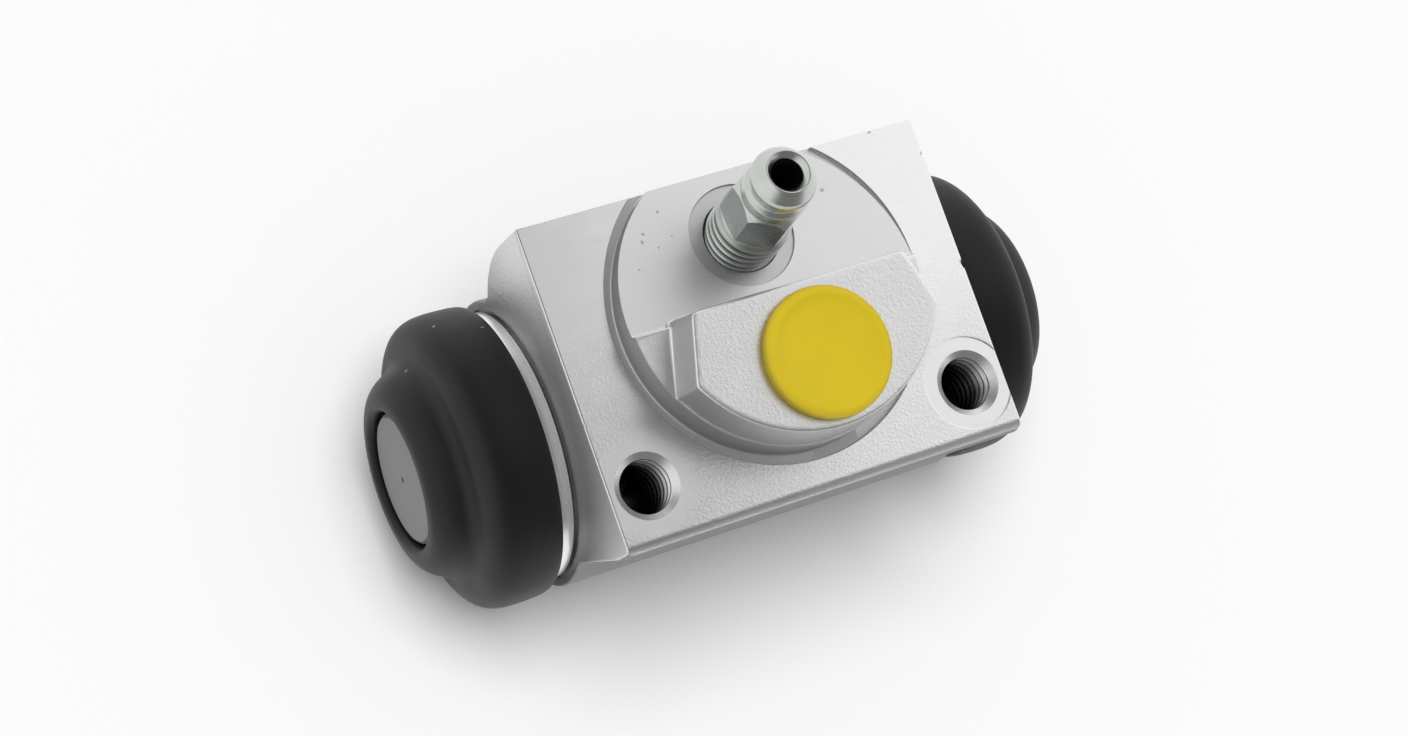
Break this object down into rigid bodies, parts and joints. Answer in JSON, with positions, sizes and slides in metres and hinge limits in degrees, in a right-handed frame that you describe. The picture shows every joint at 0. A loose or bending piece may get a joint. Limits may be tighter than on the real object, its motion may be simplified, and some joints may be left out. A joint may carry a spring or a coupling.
{
  "type": "wheel cylinder",
  "caption": "Drum brake wheel cylinder: cast aluminium body with a flat mounting face, opposed pistons under black rubber boots, a bleed screw and a plugged inlet port.",
  "frame": {"origin": "centre of the round pilot boss, in the plane of the mounting face", "axes": "+X along the bore, +Z out of the mounting face through the boss, +Y from the tapped holes towards the bleed screw"},
  "size_m": [0.064, 0.0302, 0.0479],
  "materials": {
    "cast_aluminium": "blasted, with turned and milled faces",
    "anodised_aluminium": "matte grey",
    "boot_rubber": "satin",
    "seal_rubber": "smooth",
    "spring_steel": "drawn wire",
    "zinc_plated_steel": "bright zinc",
    "yellow_plastic": "moulded"
  },
  "bodies": {
    "housing": {"body": "cast_aluminium", "boot_left": "boot_rubber", "boot_right": "boot_rubber", "return_spring": "spring_steel"},
    "left_piston": {"piston_left": "anodised_aluminium", "seal_left": "seal_rubber"},
    "right_piston": {"piston_right": "anodised_aluminium", "seal_right": "seal_rubber"},
    "bleeder": {"bleed_screw": "zinc_plated_steel"},
    "plug": {"port_plug": "yellow_plastic"}
  },
  "joints": [
    {"name": "left_stroke", "type": "slide", "parent": "housing", "child": "left_piston", "axis": [-1, 0, 0], "range_m": [-0.003, 0.006], "deforming": ["boot_left", "return_spring"]},
    {"name": "right_stroke", "type": "slide", "parent": "housing", "child": "right_piston", "axis": [1, 0, 0], "range_m": [-0.003, 0.006], "deforming": ["boot_right", "return_spring"]},
    {"name": "bleed_turn", "type": "hinge", "parent": "housing", "child": "bleeder", "pos_m": [-0.0006, 0.0058, 0.00159], "axis": [0, 0.1392, 0.9903], "range_deg": [0, 360]},
    {"name": "plug_pull", "type": "slide", "parent": "housing", "child": "plug", "axis": [0, 0, 1], "range_m": [0, 0.012]}
  ]
}
